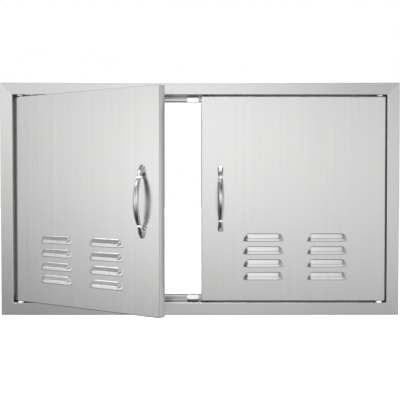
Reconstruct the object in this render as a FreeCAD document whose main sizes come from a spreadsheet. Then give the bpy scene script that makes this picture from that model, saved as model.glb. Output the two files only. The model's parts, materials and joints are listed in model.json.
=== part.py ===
import FreeCAD, Part
import math
import os

import Sketcher
from FreeCAD import Placement, Rotation, Vector

# Double access door for the front of an outdoor kitchen island.
# +X right, +Y into the island, +Z up. The origin is the centre of the clear opening, in the plane of the
# island's front, where the rim of the face frame sits. All sizes are in millimetres.

doc = FreeCAD.newDocument("double_access_door")

# ---------------------------------------------------------------- driving dimensions
DIMS = [
    # face frame
    ("frame_width", 914.4, "overall width over the face frame"),
    ("frame_tall", 533.4, "overall height over the face frame"),
    ("band", 28.5, "width of the flat face band"),
    ("stand_off", 10.0, "face of the frame in front of the island"),
    ("sheet", 1.2, "sheet thickness of the frame"),
    ("jamb_deep", 50.0, "from the face back to the stop lip"),
    ("lip_reach", 10.7, "stop lip, from the jamb inwards"),
    ("return_deep", 20.0, "rear return behind the stop lip"),
    ("bend_out", 1.8, "outer bend radius"),
    ("bend_in", 0.6, "inner bend radius"),
    # doors
    ("edge_gap", 4.0, "gap between a door and the frame"),
    ("middle_gap", 6.0, "gap between the two doors"),
    ("door_thick", 18.0, "door thickness"),
    ("skin", 1.0, "sheet thickness of the front pan"),
    ("door_bend", 1.6, "outer bend radius of the front pan"),
    ("liner", 0.8, "sheet thickness of the back tray"),
    ("liner_play", 0.1, "play between tray and pan"),
    ("liner_flange", 10.0, "depth of the tray's flanges"),
    ("open_angle", 35.0, "left door, as it stands at rest"),
    # louvres
    ("louvre_wide", 93.5, "width of one louvre"),
    ("louvre_tall", 18.0, "height of one louvre"),
    ("louvre_end", 13.4, "length of a louvre's tapered end"),
    ("louvre_proud", 6.6, "how far the hood stands out"),
    ("louvre_metal", 0.9, "thickness of the drawn hood"),
    ("louvre_pitch", 29.5, "row to row"),
    ("louvre_gap", 146.0, "column to column"),
    ("louvre_first_x", 145.5, "first column from the centre line"),
    ("louvre_top_z", -87.0, "top row"),
    ("vent_tall", 8.0, "slots in the back tray"),
    # pulls
    ("pull_x", 47.2, "pull, from the centre line"),
    ("pull_chord", 66.2, "half the span of the pull's centre line at the skin"),
    ("pull_rise", 20.8, "centre line of the grip in front of the skin"),
    ("pull_screws", 124.0, "screw spacing of the pull"),
    ("grip_wide", 13.6, "grip, across"),
    ("grip_thick", 8.6, "grip, front to back"),
    ("neck_wide", 8.8, "neck beside the collar"),
    ("neck_thick", 7.2, "neck, front to back"),
    ("foot_wide", 12.8, "foot, across"),
    ("foot_thick", 11.0, "foot, along the skin before the cut"),
    ("collar", 1.6, "radius of the collar bead"),
    # pivots
    ("pivot_in", 12.0, "pivot axis from the door's outer edge"),
    ("pivot_back", 8.0, "pivot axis behind the face"),
    ("pin_r", 3.0, "hinge pin radius"),
    ("pin_play", 0.05, "radial play of a hinge pin"),
    ("bush_r", 4.5, "bush outer radius"),
    ("bush_flange_r", 7.0, "bush flange radius"),
    ("bush_flange", 1.2, "bush flange thickness"),
    ("washer_thick", 2.5, "thrust washer thickness"),
    ("pin_reach", 7.8, "pin end past the jamb's inner face"),
    ("pin_travel", 9.0, "travel of the upper pin"),
    # catches
    ("catch_x", 16.3, "catch from the centre line"),
    ("catch_wide", 28.8, "catch body width"),
    ("catch_tall", 10.0, "catch body height"),
    ("catch_drop", 9.4, "catch centre from the jamb"),
    ("catch_screw_up", 2.7, "catch screws, nearer the jamb than the catch's centre"),
    ("catch_screw_r", 1.1, "catch screw radius"),
    ("strike_thick", 1.0, "strike plate thickness"),
    ("catch_air", 0.3, "air between strike and catch"),
    ("magnet_wide", 18.0, "magnet width"),
    ("magnet_tall", 4.0, "magnet height"),
    ("magnet_deep", 10.0, "magnet depth"),
    ("yoke", 0.8, "pole piece thickness"),
    # fixing holes
    ("fix_r", 2.75, "fixing hole radius"),
    ("fix_y", 26.0, "fixing holes behind the island's front"),
    ("fix_side", 320.0, "spacing of the side fixing holes"),
    ("fix_level", 500.0, "spacing of the top and bottom fixing holes"),
]

sheet = doc.addObject("Spreadsheet::Sheet", "dims")
for row, (alias, size, note) in enumerate(DIMS, start=1):
    sheet.set("A%d" % row, note)
    sheet.set("B%d" % row, repr(size))
    sheet.setAlias("B%d" % row, alias)
doc.recompute()


class Q:
    """A length kept both as a number and as a formula of the sheet's cells."""

    def __init__(self, formula, number):
        self.f, self.n = formula, float(number)

    def __add__(self, other):
        other = q(other)
        return Q("(%s + %s)" % (self.f, other.f), self.n + other.n)

    def __sub__(self, other):
        other = q(other)
        return Q("(%s - %s)" % (self.f, other.f), self.n - other.n)

    def __mul__(self, other):
        other = q(other)
        return Q("(%s * %s)" % (self.f, other.f), self.n * other.n)

    def __truediv__(self, other):
        other = q(other)
        return Q("(%s / %s)" % (self.f, other.f), self.n / other.n)

    def __neg__(self):
        return Q("(0 - %s)" % self.f, -self.n)

    __radd__ = __add__
    __rmul__ = __mul__

    def __rsub__(self, other):
        return q(other) - self


def q(x):
    return x if isinstance(x, Q) else Q(repr(float(x)) if x >= 0 else "(0 - %r)" % abs(float(x)), x)


def dim(alias):
    return Q("dims." + alias, sheet.get(alias))


# derived lengths, as formulas of the sheet
HALF_W = dim("frame_width") / 2
HALF_Z = dim("frame_tall") / 2
OPEN_X = HALF_W - dim("band")  # inner face of a side jamb
OPEN_Z = HALF_Z - dim("band")  # inner face of the top jamb
FACE = -dim("stand_off")  # front of the frame and of the doors
LIP_BACK = FACE + dim("jamb_deep")
FREE_X = dim("middle_gap") / 2
EDGE_X = OPEN_X - dim("edge_gap")
DOOR_Z = OPEN_Z - dim("edge_gap")
DOOR_BACK = FACE + dim("door_thick")
PIVOT_X = EDGE_X - dim("pivot_in")
PIVOT_Y = FACE + dim("pivot_back")
BORE_R = dim("pin_r") + dim("pin_play")

NODES = []  # every sub-part, in the order it is made


def origin_plane(body, role):
    return [f for f in body.Origin.OriginFeatures if f.Role == role][0]


def new_body(label):
    body = doc.addObject("PartDesign::Body", label)
    body.Label = label
    NODES.append(body)
    return body


def new_sketch(body, plane, lift=None):
    """A sketch on one of the body's own origin planes, moved along the plane's normal by a formula."""
    sk = body.newObject("Sketcher::SketchObject", "sketch")
    sk.AttachmentSupport = [(origin_plane(body, plane), "")]
    sk.MapMode = "FlatFace"
    if lift is not None:
        lift = q(lift)
        sk.AttachmentOffset = Placement(Vector(0, 0, lift.n), Rotation())
        sk.setExpression("AttachmentOffset.Base.z", lift.f)
    return sk


def pin_point(sk, geo, pos, x, y):
    """Hold a sketch point at two formulas from the sketch's origin."""
    for kind, value in (("DistanceX", q(x)), ("DistanceY", q(y))):
        if abs(value.n) < 1e-9:
            where = -2 if kind == "DistanceX" else -1
            sk.addConstraint(Sketcher.Constraint("PointOnObject", geo, pos, where))
            continue
        if value.n > 0:
            c = sk.addConstraint(Sketcher.Constraint(kind, -1, 1, geo, pos, value.n))
            sk.setExpression("Constraints[%d]" % c, value.f)
        else:
            c = sk.addConstraint(Sketcher.Constraint(kind, geo, pos, -1, 1, -value.n))
            sk.setExpression("Constraints[%d]" % c, (-value).f)


def polygon(sk, points):
    points = [(q(x), q(y)) for x, y in points]
    n = len(points)
    ids = []
    for i in range(n):
        a, b = points[i], points[(i + 1) % n]
        ids.append(sk.addGeometry(Part.LineSegment(Vector(a[0].n, a[1].n, 0), Vector(b[0].n, b[1].n, 0)), False))
    for i in range(n):
        sk.addConstraint(Sketcher.Constraint("Coincident", ids[i], 2, ids[(i + 1) % n], 1))
    for i in range(n):
        pin_point(sk, ids[i], 1, *points[i])
    return ids


def rectangle(sk, x0, y0, x1, y1):
    return polygon(sk, [(x0, y0), (x1, y0), (x1, y1), (x0, y1)])


def circle(sk, x, y, r):
    x, y, r = q(x), q(y), q(r)
    c = sk.addGeometry(Part.Circle(Vector(x.n, y.n, 0), Vector(0, 0, 1), r.n), False)
    pin_point(sk, c, 3, x, y)
    k = sk.addConstraint(Sketcher.Constraint("Radius", c, r.n))
    sk.setExpression("Constraints[%d]" % k, r.f)
    return c


def obround(sk, x, y, wide, tall):
    """A level slot outline with round ends, centred on (x, y)."""
    x, y, wide, tall = q(x), q(y), q(wide), q(tall)
    r = tall / 2
    left, right = x - (wide / 2 - r), x + (wide / 2 - r)
    up = Vector(0, 0, 1)
    a = sk.addGeometry(Part.ArcOfCircle(Part.Circle(Vector(left.n, y.n, 0), up, r.n), math.pi / 2, 3 * math.pi / 2), False)
    b = sk.addGeometry(Part.ArcOfCircle(Part.Circle(Vector(right.n, y.n, 0), up, r.n), -math.pi / 2, math.pi / 2), False)
    top = sk.addGeometry(Part.LineSegment(Vector(right.n, y.n + r.n, 0), Vector(left.n, y.n + r.n, 0)), False)
    low = sk.addGeometry(Part.LineSegment(Vector(left.n, y.n - r.n, 0), Vector(right.n, y.n - r.n, 0)), False)
    for g1, p1, g2, p2 in ((top, 2, a, 1), (a, 2, low, 1), (low, 2, b, 1), (b, 2, top, 1)):
        sk.addConstraint(Sketcher.Constraint("Tangent", g1, p1, g2, p2))
    pin_point(sk, a, 3, left, y)
    pin_point(sk, b, 3, right, y)
    k = sk.addConstraint(Sketcher.Constraint("Radius", a, r.n))
    sk.setExpression("Constraints[%d]" % k, r.f)


def pad(body, sk, length, back=False, middle=False):
    f = body.newObject("PartDesign::Pad", "pad")
    f.Profile = sk
    length = q(length)
    f.Length = length.n
    f.setExpression("Length", length.f)
    f.Reversed = back
    f.SideType = "Symmetric" if middle else "One side"
    doc.recompute()
    return f


def pocket(body, sk, length=None, back=False, middle=False):
    """Cut a sketch out of the body, and make sure that something was cut."""
    before = body.Shape.Volume
    f = body.newObject("PartDesign::Pocket", "pocket")
    f.Profile = sk
    if length is None:
        f.Type = "ThroughAll"
    else:
        length = q(length)
        f.Length = length.n
        f.setExpression("Length", length.f)
    f.Reversed = back
    f.SideType = "Symmetric" if middle else "One side"
    doc.recompute()
    if not body.Shape.Volume < before - 0.05:
        raise RuntimeError("%s: a pocket cuts nothing" % body.Label)
    return f


def edges_where(shape, wanted):
    """Names of the straight edges that the test accepts."""
    names = []
    for i, e in enumerate(shape.Edges, start=1):
        if len(e.Vertexes) == 2 and isinstance(e.Curve, (Part.Line, Part.LineSegment)):
            a, b = e.Vertexes[0].Point, e.Vertexes[1].Point
            if wanted(a, b):
                names.append("Edge%d" % i)
    return names


def fillet(body, wanted, radius, kind="PartDesign::Fillet"):
    base = body.Tip
    names = edges_where(base.Shape, wanted)
    if not names:
        raise RuntimeError("%s: no edge to round" % body.Label)
    f = body.newObject(kind, "round" if kind.endswith("Fillet") else "bevel")
    f.Base = (base, names)
    radius = q(radius)
    which = "Radius" if kind.endswith("Fillet") else "Size"
    setattr(f, which, radius.n)
    f.setExpression(which, radius.f)
    doc.recompute()
    return f


def near(a, b, tol=0.01):
    return abs(a - b) < tol


def place(node, side):
    """The left door stands open, turned about its pivot axis. The right door stays shut."""
    if side < 0:
        pivot = Vector(-PIVOT_X.n, PIVOT_Y.n, 0)
        turn = Rotation(Vector(0, 0, 1), -sheet.get("open_angle"))
        node.Placement = Placement(pivot - turn.multVec(pivot), turn)


# ---------------------------------------------------------------- frame members
def frame_member(label, turned, side):
    """One mitred length of the folded frame profile.
    turned False: a stile along Z, side +1 right or -1 left. turned True: a rail along X, side +1 top or -1 bottom."""
    t = dim("sheet")
    opening = OPEN_Z if turned else OPEN_X
    half_long = HALF_W if turned else HALF_Z
    half_wide = HALF_Z if turned else HALF_W
    out = opening + dim("band")
    lip = opening - dim("lip_reach")
    rear = LIP_BACK + dim("return_deep")
    profile = [
        (out, FACE),
        (out, 0),
        (out - t, 0),
        (out - t, FACE + t),
        (opening + t, FACE + t),
        (opening + t, LIP_BACK),
        (lip + t, LIP_BACK),
        (lip + t, rear),
        (lip, rear),
        (lip, LIP_BACK - t),
        (opening, LIP_BACK - t),
        (opening, FACE),
    ]
    body = new_body(label)
    if turned:  # the YZ plane: first axis Y, second axis Z
        sk = new_sketch(body, "YZ_Plane")
        polygon(sk, [(y, side * u) for u, y in profile])
    else:  # the XY plane: first axis X, second axis Y
        sk = new_sketch(body, "XY_Plane")
        polygon(sk, [(side * u, y) for u, y in profile])
    pad(body, sk, half_long * 2, middle=True)

    def across(p):
        return p.z if turned else p.x

    def along_edge(u, y):
        return lambda a, b: (
            near(across(a), side * u.n) and near(across(b), side * u.n) and near(a.y, y.n) and near(b.y, y.n)
        )

    outer = [(out, FACE), (opening, FACE), (opening + t, LIP_BACK), (lip, LIP_BACK - t)]
    inner = [(out - t, FACE + t), (opening + t, FACE + t), (opening, LIP_BACK - t), (lip + t, LIP_BACK)]
    fillet(body, lambda a, b: any(along_edge(q(u), q(y))(a, b) for u, y in outer), dim("bend_out"))
    fillet(body, lambda a, b: any(along_edge(q(u), q(y))(a, b) for u, y in inner), dim("bend_in"))
    # 45 degree mitres at both ends, cut in the XZ plane right through the profile
    deep, spare = 60.0, 6.0
    for end in (1, -1):
        sk = new_sketch(body, "XZ_Plane")
        if turned:  # corner at (end*half_long, side*half_wide), keep what lies nearer the middle of the rail
            tri = [
                (end * (half_long + spare), side * (half_wide + spare)),
                (end * (half_long + spare), side * (half_wide - deep)),
                (end * (half_long - deep), side * (half_wide - deep)),
            ]
        else:
            tri = [
                (side * (half_wide + spare), end * (half_long + spare)),
                (side * (half_wide - deep), end * (half_long + spare)),
                (side * (half_wide - deep), end * (half_long - deep)),
            ]
        polygon(sk, tri)
        pocket(body, sk, 200.0, middle=True)
    return body


for label, side in (("frame_top_rail", 1), ("frame_bottom_rail", -1)):
    rail = frame_member(label, True, side)
    mid = side * (OPEN_Z + dim("sheet") / 2)
    # pivot bush holes and fixing holes through the jamb, both cut symmetrically about the sheet's middle
    for hand in (1, -1):
        sk = new_sketch(rail, "XY_Plane", mid)
        circle(sk, hand * PIVOT_X, PIVOT_Y, dim("bush_r"))
        pocket(rail, sk, 4.0, middle=True)
        sk = new_sketch(rail, "XY_Plane", mid)
        circle(sk, hand * (dim("fix_level") / 2), dim("fix_y"), dim("fix_r"))
        pocket(rail, sk, 4.0, middle=True)
    # catch screw holes through the stop lip, a little nearer the jamb than the catch's centre
    lip_mid = LIP_BACK - dim("sheet") / 2
    z = side * (OPEN_Z - (dim("catch_drop") - dim("catch_screw_up")))
    sk = new_sketch(rail, "XZ_Plane", -lip_mid)
    for hand in (1, -1):
        for shift in (8.0, -8.0):
            circle(sk, hand * dim("catch_x") + shift, z, dim("catch_screw_r") + 0.15)
    pocket(rail, sk, 3.0, middle=True)

for label, side in (("frame_left_stile", -1), ("frame_right_stile", 1)):
    stile = frame_member(label, False, side)
    mid = side * (OPEN_X + dim("sheet") / 2)
    sk = new_sketch(stile, "YZ_Plane", mid)
    for end in (1, -1):
        circle(sk, dim("fix_y"), end * (dim("fix_side") / 2), dim("fix_r"))
    pocket(stile, sk, 4.0, middle=True)


# ---------------------------------------------------------------- pivot bushes and thrust washers
def ring(body, x, y, z, r_out, r_in, height):
    """A ring whose lower face is at z."""
    sk = new_sketch(body, "XY_Plane", z)
    circle(sk, x, y, r_out)
    circle(sk, x, y, r_in)
    return pad(body, sk, height)


for hand, word in ((-1, "left"), (1, "right")):
    x = hand * PIVOT_X
    tube = dim("sheet") + 3.0
    bush = new_body("pivot_bush_upper_" + word)
    ring(bush, x, PIVOT_Y, OPEN_Z, dim("bush_r"), BORE_R, tube)
    ring(bush, x, PIVOT_Y, OPEN_Z - dim("bush_flange"), dim("bush_flange_r"), BORE_R, dim("bush_flange"))
    bush = new_body("pivot_bush_lower_" + word)
    ring(bush, x, PIVOT_Y, -OPEN_Z - tube, dim("bush_r"), BORE_R, tube)
    ring(bush, x, PIVOT_Y, -OPEN_Z, dim("bush_flange_r"), BORE_R, dim("bush_flange"))
    washer = new_body("thrust_washer_" + word)
    ring(washer, x, PIVOT_Y, -OPEN_Z + dim("bush_flange"), dim("bush_flange_r"), BORE_R, dim("washer_thick"))

# ---------------------------------------------------------------- magnet catches
CATCH_FRONT = DOOR_BACK + dim("strike_thick") + dim("catch_air")
LIP_FRONT = LIP_BACK - dim("sheet")
for up, above in ((1, "top"), (-1, "bottom")):
    for hand, word in ((-1, "left"), (1, "right")):
        cx = hand * dim("catch_x")
        cz = up * (OPEN_Z - dim("catch_drop"))
        housing = new_body("catch_housing_%s_%s" % (above, word))
        sk = new_sketch(housing, "XZ_Plane", -CATCH_FRONT)
        obround(sk, cx, cz, dim("catch_wide"), dim("catch_tall"))
        pad(housing, sk, LIP_FRONT - CATCH_FRONT, back=True)
        # pocket for the pole piece and magnet, open at the front
        tall = dim("magnet_tall") + 2 * dim("yoke")
        sk = new_sketch(housing, "XZ_Plane", -CATCH_FRONT)
        rectangle(
            sk, cx - dim("magnet_wide") / 2, cz - tall / 2, cx + dim("magnet_wide") / 2, cz + tall / 2
        )
        pocket(housing, sk, dim("magnet_deep") + dim("yoke") + 0.6)
        # blind screw holes from the back
        sk = new_sketch(housing, "XZ_Plane", -LIP_FRONT)
        for shift in (8.0, -8.0):
            circle(sk, cx + shift, up * (OPEN_Z - (dim("catch_drop") - dim("catch_screw_up"))), dim("catch_screw_r") + 0.05)
        pocket(housing, sk, 9.0, back=True)

        # U-shaped pole piece: two legs and a base, drawn from the side
        yoke = new_body("catch_yoke_%s_%s" % (above, word))
        y0 = CATCH_FRONT + 0.2
        y1 = y0 + dim("magnet_deep") + dim("yoke") + 0.4
        inner = dim("magnet_tall") / 2
        outer = inner + dim("yoke")
        sk = new_sketch(yoke, "YZ_Plane", cx)
        polygon(
            sk,
            [
                (y0, cz - outer),
                (y1, cz - outer),
                (y1, cz + outer),
                (y0, cz + outer),
                (y0, cz + inner),
                (y1 - dim("yoke"), cz + inner),
                (y1 - dim("yoke"), cz - inner),
                (y0, cz - inner),
            ],
        )
        pad(yoke, sk, dim("magnet_wide"), middle=True)

        magnet = doc.addObject("Part::Box", "catch_magnet_%s_%s" % (above, word))
        magnet.Label = "catch_magnet_%s_%s" % (above, word)
        magnet.setExpression("Length", dim("magnet_wide").f)
        magnet.setExpression("Width", dim("magnet_deep").f)
        magnet.setExpression("Height", dim("magnet_tall").f)
        magnet.setExpression("Placement.Base.x", (cx - dim("magnet_wide") / 2).f)
        magnet.setExpression("Placement.Base.y", (y1 - dim("yoke") - dim("magnet_deep")).f)
        magnet.setExpression("Placement.Base.z", (cz - dim("magnet_tall") / 2).f)
        NODES.append(magnet)

# the eight catch screws: heads behind the lip, shanks in the catch bodies
screws = new_body("catch_screws")
screws.AllowCompound = True
sk_head = new_sketch(screws, "XZ_Plane", -LIP_BACK)
sk_shank = new_sketch(screws, "XZ_Plane", -LIP_BACK)
for up in (1, -1):
    for hand in (1, -1):
        for shift in (8.0, -8.0):
            x = hand * dim("catch_x") + shift
            z = up * (OPEN_Z - (dim("catch_drop") - dim("catch_screw_up")))
            circle(sk_head, x, z, 2.05)
            circle(sk_shank, x, z, dim("catch_screw_r"))
pad(screws, sk_head, 1.6, back=True)
pad(screws, sk_shank, 9.0)


# ---------------------------------------------------------------- doors
def door(side, word):
    s = side

    # ---- front pan
    skin = new_body("%s_door_skin" % word)
    sk = new_sketch(skin, "XZ_Plane", -FACE)
    rectangle(sk, s * FREE_X, -DOOR_Z, s * EDGE_X, DOOR_Z)
    pad(skin, sk, dim("door_thick"), back=True)
    fillet(
        skin,
        lambda a, b: near(a.y, FACE.n) and near(b.y, FACE.n),
        dim("door_bend"),
    )
    t = dim("skin")
    sk = new_sketch(skin, "XZ_Plane", -DOOR_BACK)
    rectangle(sk, s * (FREE_X + t), -(DOOR_Z - t), s * (EDGE_X - t), DOOR_Z - t)
    pocket(skin, sk, dim("door_thick") - t, back=True)
    # pin holes in the top and bottom flanges
    for end in (1, -1):
        sk = new_sketch(skin, "XY_Plane", end * (DOOR_Z - t / 2))
        circle(sk, s * PIVOT_X, PIVOT_Y, BORE_R)
        pocket(skin, sk, 4.0, middle=True)
    # handle screw holes
    sk = new_sketch(skin, "XZ_Plane", -(FACE + t / 2))
    for end in (1, -1):
        circle(sk, s * dim("pull_x"), end * (dim("pull_screws") / 2), 2.25)
    pocket(skin, sk, 4.0, middle=True)
    # louvres: a D-shaped mouth is cut in the skin, and the pressed hood stands over it
    tall = dim("louvre_tall")
    end_long = dim("louvre_end")
    straight = dim("louvre_wide") - 2 * end_long
    metal = dim("louvre_metal")
    proud = dim("louvre_proud")
    mouth_z = dim("louvre_top_z") - tall / 2

    def hood_section(at_x, share=1.0):
        """The pressed sheet's section: outer curve from the mouth's lip up to the skin, inner curve inside it.
        Towards the ends it shrinks, to a share of its size, about the foot of the mouth."""
        sk = new_sketch(skin, "YZ_Plane", at_x)
        outer = [
            (FACE - proud, mouth_z),
            (FACE - proud * 0.97, mouth_z + tall * 0.18),
            (FACE - proud * 0.86, mouth_z + tall * 0.38),
            (FACE - proud * 0.64, mouth_z + tall * 0.58),
            (FACE - proud * 0.34, mouth_z + tall * 0.78),
            (FACE - proud * 0.10, mouth_z + tall * 0.92),
            (FACE, mouth_z + tall),
        ]
        inner = [
            (FACE + t * 0.6, mouth_z + tall),
            (FACE + t * 0.6, mouth_z + tall - metal * 1.6),
            (FACE - proud * 0.34 + metal, mouth_z + tall * 0.78 - metal * 0.6),
            (FACE - proud * 0.64 + metal, mouth_z + tall * 0.58 - metal * 0.5),
            (FACE - proud * 0.86 + metal, mouth_z + tall * 0.38 - metal * 0.3),
            (FACE - proud * 0.97 + metal, mouth_z + tall * 0.18),
            (FACE - proud + metal, mouth_z),
        ]
        polygon(sk, [(FACE + share * (y - FACE), mouth_z + share * (z - mouth_z)) for y, z in outer + inner])
        return sk

    for column in range(2):
        mid_x = s * (dim("louvre_first_x") + column * dim("louvre_gap"))
        left, right = mid_x - straight / 2, mid_x + straight / 2
        sk = new_sketch(skin, "XZ_Plane", -(FACE + t / 2))
        # mouth outline: flat bottom, and a quarter ellipse at each end
        quarter = [
            (math.sin(math.radians(a)), math.cos(math.radians(a))) for a in (0, 18, 36, 54, 72, 90)
        ]
        reach, lift = end_long - metal, tall - metal
        polygon(
            sk,
            [(right + reach * u, mouth_z + lift * v) for u, v in quarter]
            + [(left - reach * u, mouth_z + lift * v) for u, v in reversed(quarter)],
        )
        parts = [pocket(skin, sk, 4.0, middle=True)]
        # hood: padded along the straight part, with a tapered end lofted on at both sides
        parts.append(pad(skin, hood_section(mid_x), straight, middle=True))
        for end in (1, -1):
            foot_x = mid_x + end * (straight / 2)
            sections = [
                hood_section(foot_x + end * end_long * math.sin(math.radians(a)), math.cos(math.radians(a)))
                for a in (0, 20, 40, 58, 73, 84)
            ]
            before = skin.Shape.Volume
            loft = skin.newObject("PartDesign::AdditiveLoft", "hood_end")
            loft.Profile = sections[0]
            loft.Sections = sections[1:]
            loft.Ruled = True
            doc.recompute()
            if not skin.Shape.Volume > before + 50:
                raise RuntimeError("%s: a hood end adds nothing" % skin.Label)
            parts.append(loft)
        sk = sections[0]
        one = skin.Shape.Volume
        grid = skin.newObject("PartDesign::LinearPattern", "louvre_rows")
        grid.Originals = parts
        grid.Direction = (sk, ["V_Axis"])
        grid.Reversed = True
        grid.Mode = "Spacing"
        grid.Offset = sheet.get("louvre_pitch")
        grid.setExpression("Offset", dim("louvre_pitch").f)
        grid.Occurrences = 4
        skin.Tip = grid
        doc.recompute()
        print(word, "column", column, "pattern volume change", round(skin.Shape.Volume - one, 2))
    place(skin, s)

    # ---- back tray, nested in the pan
    tray = new_body("%s_door_liner" % word)
    play = t + dim("liner_play")
    sk = new_sketch(tray, "XZ_Plane", -DOOR_BACK)
    rectangle(sk, s * (FREE_X + play), -(DOOR_Z - play), s * (EDGE_X - play), DOOR_Z - play)
    pad(tray, sk, dim("liner_flange"))
    fillet(
        tray,
        lambda a, b: near(a.y, DOOR_BACK.n) and near(b.y, DOOR_BACK.n),
        0.7,
    )
    g = play + dim("liner")
    sk = new_sketch(tray, "XZ_Plane", -(DOOR_BACK - dim("liner_flange")))
    rectangle(sk, s * (FREE_X + g), -(DOOR_Z - g), s * (EDGE_X - g), DOOR_Z - g)
    pocket(tray, sk, dim("liner_flange") - dim("liner"))
    sk = new_sketch(tray, "XZ_Plane", -(DOOR_BACK - dim("liner") / 2))
    for col in range(2):
        for row in range(4):
            obround(
                sk,
                s * (dim("louvre_first_x") + col * dim("louvre_gap")),
                dim("louvre_top_z") - row * dim("louvre_pitch"),
                dim("louvre_wide") - 21.5,
                dim("vent_tall"),
            )
    pocket(tray, sk, 4.0, middle=True)
    # driver holes behind the handle screws, and the slot for the pull pin's finger
    sk = new_sketch(tray, "XZ_Plane", -(DOOR_BACK - dim("liner") / 2))
    for end in (1, -1):
        circle(sk, s * dim("pull_x"), end * (dim("pull_screws") / 2), 6.5)
    pocket(tray, sk, 4.0, middle=True)
    finger_z = DOOR_Z - 50.0
    sk = new_sketch(tray, "XZ_Plane", -(DOOR_BACK - dim("liner") / 2))
    rectangle(
        sk,
        s * PIVOT_X - 4.0,
        finger_z - dim("pin_travel") - 4.5,
        s * PIVOT_X + 4.0,
        finger_z + 4.5,
    )
    pocket(tray, sk, 4.0, middle=True)
    # pin holes in the tray's top and bottom flanges
    for end in (1, -1):
        sk = new_sketch(tray, "XY_Plane", end * (DOOR_Z - play - dim("liner") / 2))
        circle(sk, s * PIVOT_X, PIVOT_Y, BORE_R + 0.6)
        pocket(tray, sk, 4.0, middle=True)
    place(tray, s)

    # ---- arched pull
    rise, chord = sheet.get("pull_rise"), sheet.get("pull_chord")
    arc_r = (chord * chord + rise * rise) / (2 * rise)
    px, fy = s * sheet.get("pull_x"), FACE.n
    foot = (sheet.get("foot_wide") / 2, sheet.get("foot_thick") / 2)
    neck = (sheet.get("neck_wide") / 2, sheet.get("neck_thick") / 2)
    grip = (sheet.get("grip_wide") / 2, sheet.get("grip_thick") / 2)

    def mix(p, r, w):
        return (p[0] + (r[0] - p[0]) * w, p[1] + (r[1] - p[1]) * w)

    stations = [
        (0.0, grip),
        (8.2, mix(grip, neck, 0.04)),
        (14.6, mix(grip, neck, 0.22)),
        (20.1, mix(grip, neck, 0.6)),
        (23.6, mix(grip, neck, 0.93)),
        (26.1, neck),
        (28.6, mix(neck, foot, 0.3)),
        (31.9, mix(neck, foot, 0.85)),
        (36.0, foot),
        (40.5, foot),
    ]
    ellipses = []
    for deg, (wide, thick) in [(-d, sz) for d, sz in reversed(stations[1:])] + stations:
        ang = math.radians(deg)
        y = fy - (arc_r * math.cos(ang) - (arc_r - rise))
        z = arc_r * math.sin(ang)
        ell = doc.addObject("Part::Ellipse", "pull_section")
        ell.MajorRadius, ell.MinorRadius = wide, thick
        # local x across the pull, local z along its centre line
        ell.Placement = Placement(Vector(px, y, z), Rotation(Vector(1, 0, 0), -math.degrees(ang)))
        ellipses.append(ell)
    bow = doc.addObject("Part::Loft", "pull_bow")
    bow.Sections = ellipses
    bow.Solid = True
    bow.Ruled = False
    slab = doc.addObject("Part::Box", "pull_trim")  # what lies behind the skin's face is cut away
    slab.Length, slab.Width, slab.Height = 60, 60, 260
    slab.Placement = Placement(Vector(px - 30, fy, -130), Rotation())
    trimmed = doc.addObject("Part::Cut", "pull_trimmed")
    trimmed.Base, trimmed.Tool = bow, slab
    collars = []
    for deg in (-25.4, 25.4):  # a rounded collar bead at each neck
        ang = math.radians(deg)
        disc = doc.addObject("Part::Cylinder", "pull_collar")
        disc.setExpression("Radius", (dim("neck_wide") / 2 + 0.9).f)
        disc.setExpression("Height", (dim("collar") * 2 + 0.2).f)
        y = fy - (arc_r * math.cos(ang) - (arc_r - rise))
        turn = Rotation(Vector(1, 0, 0), -deg)
        base = Vector(px, y, arc_r * math.sin(ang))
        disc.Placement = Placement(base - turn.multVec(Vector(0, 0, sheet.get("collar") + 0.1)), turn)
        doc.recompute()
        rounded = doc.addObject("Part::Fillet", "pull_collar_round")
        rounded.Base = disc
        bead = sheet.get("collar")
        rounded.Edges = [(i, bead, bead) for i, e in enumerate(disc.Shape.Edges, start=1) if e.Closed]
        collars.append(rounded)
    doc.recompute()
    fused = doc.addObject("Part::MultiFuse", "pull_fused")
    fused.Shapes = [trimmed] + collars
    last = fused
    for end in (1, -1):
        hole = doc.addObject("Part::Cylinder", "pull_screw_hole")
        hole.Radius, hole.Height = 2.05, 6.4
        hole.Placement = Placement(
            Vector(px, fy, end * sheet.get("pull_screws") / 2), Rotation(Vector(1, 0, 0), 90)
        )
        pull = doc.addObject("Part::Cut", "pull_bored")
        pull.Base, pull.Tool = last, hole
        last = pull
    pull.Label = "%s_handle" % word
    NODES.append(pull)
    doc.recompute()
    place(pull, s)

    # ---- handle screws and washers, inside the pan
    screw = new_body("%s_handle_screws" % word)
    screw.AllowCompound = True
    seat = FACE + t + 1.0
    sk = new_sketch(screw, "XZ_Plane", -seat)
    for end in (1, -1):
        circle(sk, s * dim("pull_x"), end * (dim("pull_screws") / 2), 3.8)
    pad(screw, sk, 2.6, back=True)
    sk = new_sketch(screw, "XZ_Plane", -seat)
    for end in (1, -1):
        circle(sk, s * dim("pull_x"), end * (dim("pull_screws") / 2), 2.0)
    pad(screw, sk, t + 1.0 + 5.5)
    place(screw, s)
    wash = new_body("%s_handle_washers" % word)
    wash.AllowCompound = True
    sk = new_sketch(wash, "XZ_Plane", -(FACE + t))
    for end in (1, -1):
        circle(sk, s * dim("pull_x"), end * (dim("pull_screws") / 2), 4.5)
        circle(sk, s * dim("pull_x"), end * (dim("pull_screws") / 2), 2.15)
    pad(wash, sk, 1.0, back=True)
    place(wash, s)

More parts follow.
